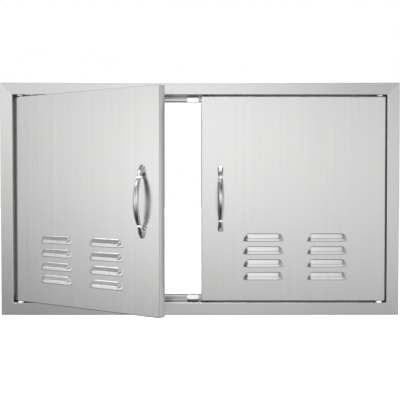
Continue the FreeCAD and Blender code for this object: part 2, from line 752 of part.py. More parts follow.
    # ---- upper pivot: guide bracket, pull pin, clip and spring
    x = s * PIVOT_X
    leg_top, leg_low = DOOR_Z - 14.2, DOOR_Z - 44.2
    leg = q(1.5)
    front = FACE + t
    bracket = new_body("%s_upper_pin_bracket" % word)
    sk = new_sketch(bracket, "YZ_Plane", x)
    polygon(
        sk,
        [
            (front, leg_low),
            (front + 14.0, leg_low),
            (front + 14.0, leg_low + leg),
            (front + leg, leg_low + leg),
            (front + leg, leg_top - leg),
            (front + 14.0, leg_top - leg),
            (front + 14.0, leg_top),
            (front, leg_top),
        ],
    )
    pad(bracket, sk, 17.0, middle=True)
    for z in (leg_top - leg / 2, leg_low + leg / 2):
        sk = new_sketch(bracket, "XY_Plane", z)
        circle(sk, x, PIVOT_Y, BORE_R)
        pocket(bracket, sk, 4.0, middle=True)
    place(bracket, s)

    pin = new_body("%s_upper_hinge_pin" % word)
    end_z = OPEN_Z + dim("pin_reach")
    low_z = finger_z - dim("pin_r")
    sk = new_sketch(pin, "XY_Plane", low_z)
    circle(sk, x, PIVOT_Y, dim("pin_r"))
    pad(pin, sk, end_z - low_z)
    sk = new_sketch(pin, "XZ_Plane", -PIVOT_Y)
    circle(sk, x, finger_z, dim("pin_r"))
    pad(pin, sk, DOOR_BACK - PIVOT_Y + 9.0, back=True)
    clip_top = leg_top - leg
    sk = new_sketch(pin, "XY_Plane", clip_top - 1.0)
    circle(sk, x, PIVOT_Y, dim("pin_r") + 1.0)
    circle(sk, x, PIVOT_Y, dim("pin_r") - 0.5)
    pocket(pin, sk, 1.0, back=True)
    place(pin, s)

    clip = new_body("%s_upper_pin_clip" % word)
    sk = new_sketch(clip, "XY_Plane", clip_top - 1.0)
    circle(sk, x, PIVOT_Y, 5.2)
    circle(sk, x, PIVOT_Y, dim("pin_r") - 0.45)
    pad(clip, sk, 1.0)
    sk = new_sketch(clip, "XY_Plane", clip_top - 0.5)
    rectangle(sk, x - 1.6, PIVOT_Y, x + 1.6, PIVOT_Y + 6.0)
    pocket(clip, sk, 4.0, middle=True)
    place(clip, s)

    spring = new_body("%s_upper_pin_spring" % word)
    wire, coil_r, turns = 0.5, 4.1, 7
    z0, z1 = leg_low + leg + wire, clip_top - 1.0 - wire
    sk = new_sketch(spring, "XZ_Plane", -PIVOT_Y)
    circle(sk, x + coil_r, z0, wire)
    axis = sk.addGeometry(Part.LineSegment(Vector(x.n, z0.n, 0), Vector(x.n, z0.n + 5, 0)), True)
    pin_point(sk, axis, 1, x, z0)
    pin_point(sk, axis, 2, x, z0 + 5.0)
    coil = spring.newObject("PartDesign::AdditiveHelix", "coil")
    coil.Profile = sk
    coil.ReferenceAxis = (sk, ["Axis0"])
    coil.Mode = "height-turns-angle"
    coil.Height = z1.n - z0.n
    coil.setExpression("Height", (z1 - z0).f)
    coil.Turns = turns
    doc.recompute()
    place(spring, s)

    # ---- lower pivot: bracket and headed pin
    low_leg, high_leg = -DOOR_Z + 12.0, -DOOR_Z + 30.0
    bracket = new_body("%s_lower_pin_bracket" % word)
    sk = new_sketch(bracket, "YZ_Plane", x)
    polygon(
        sk,
        [
            (front, low_leg),
            (front + 14.0, low_leg),
            (front + 14.0, low_leg + leg),
            (front + leg, low_leg + leg),
            (front + leg, high_leg - leg),
            (front + 14.0, high_leg - leg),
            (front + 14.0, high_leg),
            (front, high_leg),
        ],
    )
    pad(bracket, sk, 17.0, middle=True)
    for z in (low_leg + leg / 2, high_leg - leg / 2):
        sk = new_sketch(bracket, "XY_Plane", z)
        circle(sk, x, PIVOT_Y, BORE_R)
        pocket(bracket, sk, 4.0, middle=True)
    place(bracket, s)
    pin = new_body("%s_lower_hinge_pin" % word)
    sk = new_sketch(pin, "XY_Plane", -OPEN_Z - dim("pin_reach"))
    circle(sk, x, PIVOT_Y, dim("pin_r"))
    pad(pin, sk, high_leg + OPEN_Z + dim("pin_reach"))
    sk = new_sketch(pin, "XY_Plane", high_leg)
    circle(sk, x, PIVOT_Y, 5.0)
    pad(pin, sk, 2.5)
    place(pin, s)

    # ---- strike plates on the back, opposite the catches
    for end, above in ((1, "upper"), (-1, "lower")):
        strike = new_body("%s_strike_plate_%s" % (word, above))
        sk = new_sketch(strike, "XZ_Plane", -DOOR_BACK)
        z_out, z_in = DOOR_Z - 1.0, DOOR_Z - 12.0
        rectangle(sk, s * (FREE_X + 2.3), end * z_in, s * (FREE_X + 24.3), end * z_out)
        pad(strike, sk, dim("strike_thick"), back=True)
        place(strike, s)


for side, word in ((-1, "left"), (1, "right")):
    door(side, word)

# ---------------------------------------------------------------- check and write
doc.recompute()
bad = [o.Label for o in doc.Objects if "Invalid" in o.State or "Error" in o.State]
if bad:
    raise RuntimeError("objects in error: %s" % bad)
for node in NODES:
    shape = node.Shape
    if shape.isNull() or not shape.isValid() or not shape.Solids:
        raise RuntimeError("%s has no valid solid" % node.Label)

os.makedirs("parts", exist_ok=True)
for old in os.listdir("parts"):
    if old.endswith(".step"):
        os.remove(os.path.join("parts", old))
for node in NODES:
    node.Shape.exportStep(os.path.join("parts", node.Label + ".step"))
box = FreeCAD.BoundBox()
for node in NODES:
    box.add(node.Shape.BoundBox)
print("nodes", len(NODES), "box", box)
for node in NODES:
    print("%-30s solids %d  volume %10.2f" % (node.Label, len(node.Shape.Solids), node.Shape.Volume))
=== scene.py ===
import json
import math

import bmesh
import bpy
import numpy as np
from mathutils import Matrix, Vector
from mathutils.geometry import delaunay_2d_cdt


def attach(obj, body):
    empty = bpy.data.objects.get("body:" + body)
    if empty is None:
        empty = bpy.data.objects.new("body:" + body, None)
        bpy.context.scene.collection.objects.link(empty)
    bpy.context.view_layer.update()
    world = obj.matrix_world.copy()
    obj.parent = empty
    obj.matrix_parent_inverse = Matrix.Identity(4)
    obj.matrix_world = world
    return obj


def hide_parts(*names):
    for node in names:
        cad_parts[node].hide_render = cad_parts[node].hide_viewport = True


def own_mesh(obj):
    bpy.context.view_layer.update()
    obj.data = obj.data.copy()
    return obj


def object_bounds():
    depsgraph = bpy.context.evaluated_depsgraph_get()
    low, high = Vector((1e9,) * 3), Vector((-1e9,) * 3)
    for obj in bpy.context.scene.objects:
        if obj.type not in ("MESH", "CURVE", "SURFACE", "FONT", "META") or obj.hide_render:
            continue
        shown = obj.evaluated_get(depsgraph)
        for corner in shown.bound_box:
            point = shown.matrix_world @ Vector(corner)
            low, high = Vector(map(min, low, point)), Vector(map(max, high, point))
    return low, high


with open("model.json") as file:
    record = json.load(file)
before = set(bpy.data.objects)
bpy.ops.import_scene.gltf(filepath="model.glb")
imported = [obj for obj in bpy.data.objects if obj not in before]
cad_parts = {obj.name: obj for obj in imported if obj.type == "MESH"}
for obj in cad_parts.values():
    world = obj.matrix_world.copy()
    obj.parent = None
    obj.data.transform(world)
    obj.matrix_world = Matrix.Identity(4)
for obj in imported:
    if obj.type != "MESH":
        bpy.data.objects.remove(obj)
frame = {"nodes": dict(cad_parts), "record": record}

CAD_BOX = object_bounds()
NODES = frame["nodes"]

# ------------------------------------------------------------------ shared sizes, in metres
MM = 0.001
FACE = -10.0 * MM          # front of the frame and of the doors
DOOR_BACK = 8.0 * MM
FREE_X, EDGE_X = 3.0 * MM, 424.7 * MM
DOOR_Z = 234.2 * MM
OPEN_Z = 238.2 * MM
SKIN = 1.0 * MM
PIVOT = (-412.7 * MM, -2.0 * MM)
OPEN_ANGLE = math.radians(-35.0)
LOUVRE_W, LOUVRE_H, LOUVRE_END, LOUVRE_OUT = 93.5 * MM, 18.0 * MM, 13.4 * MM, 6.6 * MM
LOUVRE_METAL = 0.9 * MM
LIP_ROLL = 1.1 * MM
LOUVRE_X = (145.5 * MM, 291.5 * MM)
LOUVRE_TOP = (-87.0 * MM, -116.5 * MM, -146.0 * MM, -175.5 * MM)
PULL_X = 47.2 * MM
PULL_SCREW_Z = 62.0 * MM

# the left door stands open, turned about its pivot pins
LEFT = (
    Matrix.Translation((PIVOT[0], PIVOT[1], 0.0))
    @ Matrix.Rotation(OPEN_ANGLE, 4, "Z")
    @ Matrix.Translation((-PIVOT[0], -PIVOT[1], 0.0))
)


# ------------------------------------------------------------------ node helpers
def new_material(name):
    mat = bpy.data.materials.new(name)
    mat.use_nodes = True
    nt = mat.node_tree
    nt.nodes.clear()
    out = nt.nodes.new("ShaderNodeOutputMaterial")
    bsdf = nt.nodes.new("ShaderNodeBsdfPrincipled")
    nt.links.new(bsdf.outputs["BSDF"], out.inputs["Surface"])
    return mat, nt, bsdf


def node(nt, kind, **settings):
    n = nt.nodes.new(kind)
    for k, v in settings.items():
        setattr(n, k, v)
    return n


def link(nt, a, b):
    nt.links.new(a, b)


def scaled(nt, coords, scale):
    m = node(nt, "ShaderNodeMapping")
    m.inputs["Scale"].default_value = scale
    link(nt, coords, m.inputs["Vector"])
    return m.outputs["Vector"]


def noise(nt, vector, scale=1.0, detail=2.0, rough=0.5, distortion=0.0):
    n = node(nt, "ShaderNodeTexNoise")
    n.inputs["Scale"].default_value = scale
    n.inputs["Detail"].default_value = detail
    n.inputs["Roughness"].default_value = rough
    n.inputs["Distortion"].default_value = distortion
    link(nt, vector, n.inputs["Vector"])
    return n.outputs["Fac"]


def spread(nt, value, low, high, from_low=0.25, from_high=0.75):
    m = node(nt, "ShaderNodeMapRange")
    m.inputs["From Min"].default_value = from_low
    m.inputs["From Max"].default_value = from_high
    m.inputs["To Min"].default_value = low
    m.inputs["To Max"].default_value = high
    link(nt, value, m.inputs["Value"])
    return m.outputs["Result"]


def maths(nt, op, a, b=None, c=None):
    m = node(nt, "ShaderNodeMath", operation=op)
    for i, v in enumerate((a, b, c)):
        if v is None:
            continue
        if isinstance(v, (int, float)):
            m.inputs[i].default_value = v
        else:
            link(nt, v, m.inputs[i])
    return m.outputs[0]


def ramp(nt, value, stops):
    r = node(nt, "ShaderNodeValToRGB")
    while len(r.color_ramp.elements) < len(stops):
        r.color_ramp.elements.new(0.5)
    for e, (pos, col) in zip(r.color_ramp.elements, stops):
        e.position = pos
        e.color = (*col, 1.0)
    link(nt, value, r.inputs["Fac"])
    return r.outputs["Color"]


def mix_colour(nt, fac, a, b):
    m = node(nt, "ShaderNodeMix", data_type="RGBA")
    for socket, v in ((m.inputs[0], fac), (m.inputs[6], a), (m.inputs[7], b)):
        if isinstance(v, tuple):
            socket.default_value = (*v, 1.0)
        elif isinstance(v, (int, float)):
            socket.default_value = v
        else:
            link(nt, v, socket)
    return m.outputs[2]


def bump(nt, bsdf, height, strength, distance, chain=None):
    b = node(nt, "ShaderNodeBump")
    b.inputs["Strength"].default_value = strength
    b.inputs["Distance"].default_value = distance
    link(nt, height, b.inputs["Height"])
    if chain is not None:
        link(nt, chain, b.inputs["Normal"])
    link(nt, b.outputs["Normal"], bsdf.inputs["Normal"])
    return b.outputs["Normal"]


def edge_mask(nt, radius, low=0.995, high=0.90):
    """1 on sharp edges, 0 on flats: how far the rounded normal turns away from the true one."""
    bevel = node(nt, "ShaderNodeBevel", samples=4)
    bevel.inputs["Radius"].default_value = radius
    geo = node(nt, "ShaderNodeNewGeometry")
    dot = node(nt, "ShaderNodeVectorMath", operation="DOT_PRODUCT")
    link(nt, bevel.outputs["Normal"], dot.inputs[0])
    link(nt, geo.outputs["Normal"], dot.inputs[1])
    return spread(nt, dot.outputs["Value"], 0.0, 1.0, low, high), bevel.outputs["Normal"]


def recess_shade_mask(nt, co):
    """1 on the frame's inner folds, the walls of the recess that the doors close into, 0 on its faces: where the frame
    steel gets painted shade.
    """
    pos = node(nt, "ShaderNodeSeparateXYZ")
    link(nt, co, pos.inputs["Vector"])
    geo = node(nt, "ShaderNodeNewGeometry")
    turned = node(nt, "ShaderNodeSeparateXYZ")
    link(nt, geo.outputs["Normal"], turned.inputs["Vector"])
    side_on = spread(nt, maths(nt, "ABSOLUTE", turned.outputs["Y"]), 1.0, 0.0, 0.35, 0.75)
    deep = spread(nt, pos.outputs["Y"], 0.0, 1.0, -0.0092, -0.0070)
    near_x = spread(nt, maths(nt, "ABSOLUTE", pos.outputs["X"]), 1.0, 0.0, 0.4310, 0.4330)
    near_z = spread(nt, maths(nt, "ABSOLUTE", pos.outputs["Z"]), 1.0, 0.0, 0.2405, 0.2425)
    return maths(nt, "MULTIPLY", maths(nt, "MULTIPLY", side_on, deep), maths(nt, "MULTIPLY", near_x, near_z))


def brushed_steel(name, along, colour, rough, aniso, streak=1.0, tint=(1.0, 1.0, 1.0), edge=0.0003, recess_shade=0.0):
    """Stainless sheet with a directional brush: long fine scratches over broader soft bands, a slight cloudiness,
    faint handling marks, and edges lightened, partly as wear and partly as a painted highlight; on the frame, painted
    shade on the walls the doors close into. 'along' is the brush direction, X or Z."""
    mat, nt, bsdf = new_material(name)
    co = node(nt, "ShaderNodeTexCoord").outputs["Object"]
    def dirs(across, length):
        return (length, across, across) if along == "X" else (across, across, length)
    hair = noise(nt, scaled(nt, co, dirs(2600.0, 16.0)), 1.0, 3.0, 0.6)
    line = noise(nt, scaled(nt, co, dirs(620.0, 3.2)), 1.0, 3.0, 0.55)
    band = noise(nt, scaled(nt, co, dirs(95.0, 0.9)), 1.0, 2.0, 0.5)
    cloud = noise(nt, scaled(nt, co, (9.0, 9.0, 9.0)), 1.0, 3.0, 0.5, 0.4)
    scratch = noise(nt, scaled(nt, co, dirs(1400.0, 34.0)), 1.0, 1.0, 0.4)
    scratch = spread(nt, scratch, 0.0, 1.0, 0.70, 0.78)
    mask, soft = edge_mask(nt, edge)

    # colour: narrow range of greys, a little lighter and darker from line to line
    g = maths(nt, "MULTIPLY", spread(nt, line, -1.0, 1.0), 0.023 * streak)
    g = maths(nt, "MULTIPLY_ADD", spread(nt, band, -1.0, 1.0), 0.013 * streak, g)
    g = maths(nt, "MULTIPLY_ADD", spread(nt, hair, -1.0, 1.0), 0.050 * streak, g)
    g = maths(nt, "MULTIPLY_ADD", spread(nt, cloud, -1.0, 1.0), 0.008, g)
    g = maths(nt, "ADD", g, 0.5)
    lo = tuple(max(0.0, c * t * (1 - 0.5)) for c, t in zip(colour, tint))
    hi = tuple(min(1.0, c * t * (1 + 0.5)) for c, t in zip(colour, tint))
    base = mix_colour(nt, g, lo, hi)
    # edges lightened: partly wear, partly a painted highlight
    base = mix_colour(nt, maths(nt, "MULTIPLY", mask, 0.35), base, (0.86, 0.86, 0.85))
    base = mix_colour(nt, maths(nt, "MULTIPLY", scratch, 0.10), base, (0.90, 0.90, 0.90))
    # painted shade: the walls the doors close into are darkened towards near-black, standing in for the shade deep in
    # the recess
    if recess_shade:
        base = mix_colour(nt, maths(nt, "MULTIPLY", recess_shade_mask(nt, co), recess_shade), base, (0.10, 0.10, 0.10))
    link(nt, base, bsdf.inputs["Base Color"])
    bsdf.inputs["Metallic"].default_value = 1.0

    # roughness follows the brush, edges are smoother
    r = maths(nt, "MULTIPLY_ADD", spread(nt, hair, -1.0, 1.0), 0.05 * streak, rough)
    r = maths(nt, "MULTIPLY_ADD", spread(nt, line, -1.0, 1.0), 0.009 * streak, r)
    r = maths(nt, "MULTIPLY_ADD", spread(nt, cloud, -1.0, 1.0), 0.010, r)
    r = maths(nt, "MULTIPLY_ADD", mask, -0.06, r)
    link(nt, r, bsdf.inputs["Roughness"])

    # highlights spread across the brush lines
    bsdf.inputs["Anisotropic"].default_value = aniso
    geo = node(nt, "ShaderNodeNewGeometry")
    cross = node(nt, "ShaderNodeVectorMath", operation="CROSS_PRODUCT")
    link(nt, geo.outputs["Normal"], cross.inputs[0])
    cross.inputs[1].default_value = (1.0, 0.0, 0.0) if along == "X" else (0.0, 0.0, 1.0)
    link(nt, cross.outputs["Vector"], bsdf.inputs["Tangent"])

    height = maths(nt, "MULTIPLY_ADD", line, 0.5, hair)
    bump(nt, bsdf, height, 0.06 * streak, 0.00004, soft)
    return mat


def polished_metal(name, colour, rough, micro=0.35, edge=0.0002, bead_glint_height=0.0):
    """Polished cast or plated metal: bright, with faint swirls, slight waviness and soft smudges, and edges lightened,
    partly as wear and partly as a painted highlight. The last argument is the height above and below the middle of a
    pull of its two beads, which get a painted highlight: a light, rougher, less metallic band."""
    mat, nt, bsdf = new_material(name)
    co = node(nt, "ShaderNodeTexCoord").outputs["Object"]
    wave = noise(nt, scaled(nt, co, (60.0, 60.0, 60.0)), 1.0, 2.0, 0.5)
    smudge = noise(nt, scaled(nt, co, (150.0, 150.0, 90.0)), 1.0, 4.0, 0.6, 0.8)
    fine = noise(nt, scaled(nt, co, (2200.0, 2200.0, 500.0)), 1.0, 3.0, 0.6)
    mask, soft = edge_mask(nt, edge)
    shade = maths(nt, "MULTIPLY_ADD", spread(nt, smudge, -1.0, 1.0), 0.06, 0.5)
    shade = maths(nt, "MULTIPLY_ADD", spread(nt, fine, -1.0, 1.0), 0.04, shade)
    base = mix_colour(nt, shade, tuple(c * 0.8 for c in colour), tuple(min(1.0, c * 1.2) for c in colour))
    # edges lightened: partly wear, partly a painted highlight
    base = mix_colour(nt, maths(nt, "MULTIPLY", mask, 0.25), base, (0.95, 0.95, 0.94))
    r = maths(nt, "MULTIPLY_ADD", spread(nt, smudge, 0.0, 1.0, 0.45, 0.7), 0.04, rough)
    r = maths(nt, "MULTIPLY_ADD", spread(nt, fine, -1.0, 1.0), 0.012, r)
    if bead_glint_height:
        # painted highlight on the two beads: a light, rougher and less metallic band in place of the glint of a strong
        # light
        pos = node(nt, "ShaderNodeSeparateXYZ")
        link(nt, co, pos.inputs["Vector"])
        off = maths(nt, "ABSOLUTE", maths(nt, "SUBTRACT", maths(nt, "ABSOLUTE", pos.outputs["Z"]), bead_glint_height))
        ring = spread(nt, off, 1.0, 0.0, 0.0015, 0.0021)
        base = mix_colour(nt, ring, base, (0.93, 0.93, 0.93))
        r = maths(nt, "MULTIPLY_ADD", ring, 0.16, r)
        link(nt, spread(nt, ring, 1.0, 0.35, 0.0, 1.0), bsdf.inputs["Metallic"])
    else:
        bsdf.inputs["Metallic"].default_value = 1.0
    link(nt, base, bsdf.inputs["Base Color"])
    link(nt, r, bsdf.inputs["Roughness"])
    first = bump(nt, bsdf, wave, 0.10 * micro, 0.0006, soft)
    bump(nt, bsdf, fine, 0.05 * micro, 0.00003, first)
    return mat


def plated_metal(name, colour, rough, blotch=(0.62, 0.64, 0.70), edge=0.00025):
    """Zinc-plated pressed steel: spangled, slightly bluish, duller in patches, and lighter on its edges, partly as wear
    and partly as a painted highlight.
    """
    mat, nt, bsdf = new_material(name)
    co = node(nt, "ShaderNodeTexCoord").outputs["Object"]
    cell = node(nt, "ShaderNodeTexVoronoi", feature="F1")
    cell.inputs["Scale"].default_value = 420.0
    link(nt, co, cell.inputs["Vector"])
    cloud = noise(nt, scaled(nt, co, (180.0, 180.0, 180.0)), 1.0, 4.0, 0.6, 0.5)
    grain = noise(nt, scaled(nt, co, (3000.0, 3000.0, 3000.0)), 1.0, 2.0, 0.5)
    mask, soft = edge_mask(nt, edge)
    base = mix_colour(nt, spread(nt, cloud, 0.0, 1.0), colour, blotch)
    base = mix_colour(nt, spread(nt, cell.outputs["Distance"], 0.0, 0.25, 0.1, 0.6), base, (0.40, 0.41, 0.43))
    # edges lightened: partly wear, partly a painted highlight
    base = mix_colour(nt, maths(nt, "MULTIPLY", mask, 0.5), base, (0.85, 0.85, 0.84))
    link(nt, base, bsdf.inputs["Base Color"])
    bsdf.inputs["Metallic"].default_value = 1.0
    r = maths(nt, "MULTIPLY_ADD", spread(nt, cloud, -1.0, 1.0), 0.08, rough)
    r = maths(nt, "MULTIPLY_ADD", mask, -0.10, r)
    link(nt, r, bsdf.inputs["Roughness"])
    bump(nt, bsdf, grain, 0.12, 0.00006, soft)
    return mat


def moulded_plastic(name, colour, rough, specular=0.5, sub=0.0, edge=0.0004):
    """Injection-moulded plastic: fine texture, faint flow marks, a little dirt in its grain and lighter edges."""
    mat, nt, bsdf = new_material(name)
    co = node(nt, "ShaderNodeTexCoord").outputs["Object"]
    grain = noise(nt, scaled(nt, co, (2400.0, 2400.0, 2400.0)), 1.0, 3.0, 0.55)
    flow = noise(nt, scaled(nt, co, (90.0, 260.0, 90.0)), 1.0, 3.0, 0.5, 1.2)
    mask, soft = edge_mask(nt, edge)
    base = mix_colour(nt, spread(nt, flow, 0.0, 1.0), tuple(c * 0.96 for c in colour), colour)
    base = mix_colour(nt, spread(nt, grain, 0.0, 0.06), base, tuple(c * 0.8 for c in colour))
    # edges lightened: partly wear, partly a painted highlight
    base = mix_colour(nt, maths(nt, "MULTIPLY", mask, 0.25), base, tuple(min(1.0, c * 1.08) for c in colour))
    link(nt, base, bsdf.inputs["Base Color"])
    r = maths(nt, "MULTIPLY_ADD", spread(nt, grain, -1.0, 1.0), 0.05, rough)
    r = maths(nt, "MULTIPLY_ADD", spread(nt, flow, -1.0, 1.0), 0.03, r)
    link(nt, r, bsdf.inputs["Roughness"])
    bsdf.inputs["Specular IOR Level"].default_value = specular
    if sub:
        bsdf.inputs["Subsurface Weight"].default_value = sub
        bsdf.inputs["Subsurface Radius"].default_value = (0.004, 0.004, 0.003)
        bsdf.inputs["Subsurface Scale"].default_value = 1.0
    bump(nt, bsdf, grain, 0.10, 0.00006, soft)
    return mat


def sintered(name):
    """Ferrite magnet: near-black, granular, slightly metallic, lighter at its edges, partly chipped and partly a
    painted highlight.
    """
    mat, nt, bsdf = new_material(name)
    co = node(nt, "ShaderNodeTexCoord").outputs["Object"]
    grain = noise(nt, scaled(nt, co, (1800.0, 1800.0, 1800.0)), 1.0, 4.0, 0.7)
    patch = noise(nt, scaled(nt, co, (300.0, 300.0, 300.0)), 1.0, 3.0, 0.5)
    mask, soft = edge_mask(nt, 0.0003)
    base = mix_colour(nt, spread(nt, patch, 0.0, 1.0), (0.045, 0.045, 0.05), (0.085, 0.085, 0.09))
    # edges lightened: partly chipping, partly a painted highlight
    base = mix_colour(nt, maths(nt, "MULTIPLY", mask, 0.4), base, (0.20, 0.20, 0.20))
    link(nt, base, bsdf.inputs["Base Color"])
    bsdf.inputs["Metallic"].default_value = 0.35
    link(nt, spread(nt, grain, 0.40, 0.62), bsdf.inputs["Roughness"])
    bump(nt, bsdf, grain, 0.35, 0.0001, soft)
    return mat


def turned_metal(name, colour, rough, pitch=2600.0):
    """Turned or drawn steel: rings of the cutting tool round its axis, and a slightly oily surface."""
    mat, nt, bsdf = new_material(name)
    co = node(nt, "ShaderNodeTexCoord").outputs["Object"]
    rings = noise(nt, scaled(nt, co, (60.0, 60.0, pitch)), 1.0, 2.0, 0.5)
    cloud = noise(nt, scaled(nt, co, (240.0, 240.0, 240.0)), 1.0, 3.0, 0.6, 0.6)
    mask, soft = edge_mask(nt, 0.0002)
    base = mix_colour(nt, spread(nt, cloud, 0.0, 1.0), tuple(c * 0.82 for c in colour), colour)
    # edges lightened: partly wear, partly a painted highlight
    base = mix_colour(nt, maths(nt, "MULTIPLY", mask, 0.4), base, (0.88, 0.88, 0.87))
    link(nt, base, bsdf.inputs["Base Color"])
    bsdf.inputs["Metallic"].default_value = 1.0
    r = maths(nt, "MULTIPLY_ADD", spread(nt, rings, -1.0, 1.0), 0.06, rough)
    link(nt, maths(nt, "MULTIPLY_ADD", spread(nt, cloud, -1.0, 1.0), 0.05, r), bsdf.inputs["Roughness"])
    bump(nt, bsdf, rings, 0.18, 0.00004, soft)
    return mat


STEEL = (0.66, 0.66, 0.655)
FRAME_STEEL = (0.62, 0.62, 0.615)
MATS = {
    # the last number on the two frame materials is the strength of the painted shade on the walls the doors close into
    "frame_x": brushed_steel("frame_steel_rails", "X", FRAME_STEEL, 0.18, 0.55, 0.6, recess_shade=0.85),
    "frame_z": brushed_steel("frame_steel_stiles", "Z", FRAME_STEEL, 0.18, 0.55, 0.6, recess_shade=0.7),
    "door_steel": brushed_steel("door_steel", "Z", STEEL, 0.21, 0.60, 1.0),
    "liner_steel": brushed_steel("liner_steel", "Z", (0.60, 0.60, 0.60), 0.36, 0.40, 0.8),
    # the pull's two beads carry a painted highlight, 49.7 mm above and below its middle
    "handle_chrome": polished_metal("handle_polished", (0.64, 0.64, 0.64), 0.07, bead_glint_height=0.0497),
    "screw_steel": turned_metal("screw_steel", (0.62, 0.62, 0.62), 0.28, 3200.0),
    "zinc_steel": plated_metal("zinc_steel", (0.60, 0.61, 0.63), 0.34),
    "pin_steel": turned_metal("pin_steel", (0.56, 0.56, 0.57), 0.24),
    "spring_steel": turned_metal("spring_steel", (0.48, 0.48, 0.49), 0.30, 1800.0),
    "nylon": moulded_plastic("nylon_natural", (0.80, 0.79, 0.74), 0.45, 0.4, 0.15),
    "catch_plastic": moulded_plastic("catch_white", (0.93, 0.93, 0.92), 0.32, 0.5, 0.10),
    "magnet_ferrite": sintered("magnet_ferrite"),
}
SLOT_OF = {p["node"]: p["material_slot"] for p in frame["record"]["subparts"]}


def dress(obj, mat):
    obj.data.materials.clear()
    obj.data.materials.append(mat)


for name, obj in NODES.items():
    slot = SLOT_OF[name]
    if slot == "frame_steel":
        dress(obj, MATS["frame_x" if "rail" in name else "frame_z"])
    else:
        dress(obj, MATS[slot])


# ------------------------------------------------------------------ mesh helpers
def mesh_object(name, verts, faces, mat, smooth=None, matrix=None):
    me = bpy.data.meshes.new(name)
    me.from_pydata([tuple(v) for v in verts], [], faces)
    me.update()
    if smooth is not None:
        me.polygons.foreach_set("use_smooth", [bool(x) for x in smooth])
    me.materials.append(mat)
    bm = bmesh.new()
    bm.from_mesh(me)
    bmesh.ops.remove_doubles(bm, verts=bm.verts, dist=2e-6)
    bmesh.ops.dissolve_degenerate(bm, edges=bm.edges, dist=1e-7)
    bmesh.ops.recalc_face_normals(bm, faces=bm.faces)
    bm.to_mesh(me)
    bm.free()
    me.update()
    if matrix is not None:
        me.transform(matrix)
    obj = bpy.data.objects.new(name, me)
    bpy.context.scene.collection.objects.link(obj)
    return obj


class Build:
    """Vertices and faces collected before the mesh is made."""

    def __init__(self):
        self.v, self.f, self.smooth = [], [], []

    def add(self, points):
        first = len(self.v)
        self.v.extend(points)
        return list(range(first, len(self.v)))

    def face(self, ids, smooth=True):
        self.f.append(tuple(ids))
        self.smooth.append(smooth)

    def strip(self, a, b, closed=False, smooth=True):
        n = len(a)
        for i in range(n if closed else n - 1):
            j = (i + 1) % n
            self.face((a[i], a[j], b[j], b[i]), smooth)


# ------------------------------------------------------------------ door skins
def hood_height(s):
    """Share of the hood's full height, from its lip (s = 0) to where it leaves the sheet (s = 1): a nearly flat lip,
    a straight slope, and a soft run into the sheet."""
    return float(np.interp(s, HOOD_S, HOOD_H))


def hood_profile():
    at = np.linspace(0.0, 1.0, 401)
    lean = np.interp(at, (0.0, 0.335, 0.355, 0.80), (0.10, 0.12, 0.60, 0.60))
    run_out = at > 0.80
    lean[run_out] = 0.60 * 0.5 * (1.0 + np.cos(np.pi * (at[run_out] - 0.80) / 0.20))
    fall = np.concatenate(([0.0], np.cumsum((lean[1:] + lean[:-1]) / 2.0)))
    return at, 1.0 - fall / fall[-1]


HOOD_S, HOOD_H = hood_profile()
HOOD_ROWS = (
    0.0, 0.08, 0.16, 0.24, 0.30, 0.335, 0.355, 0.39, 0.45, 0.52,
    0.59, 0.66, 0.73, 0.80, 0.84, 0.88, 0.92, 0.96, 0.98, 1.0,
)


def louvre_outline(cx, mouth, end, tall, k_end=16, k_straight=6):
    """Directions and centres along the hood's plan, from its right foot over the top to its left foot."""
    half = LOUVRE_W / 2 - LOUVRE_END
    pts = []
    for i in range(k_end + 1):
        a = math.pi / 2 * i / k_end
        pts.append((cx + half, end * math.cos(a), tall * math.sin(a)))
    for i in range(1, k_straight):
        pts.append((cx + half - 2 * half * i / k_straight, 0.0, tall))
    for i in range(k_end + 1):
        a = math.pi / 2 + math.pi / 2 * i / k_end
        pts.append((cx - half, end * math.cos(a), tall * math.sin(a)))
    return pts


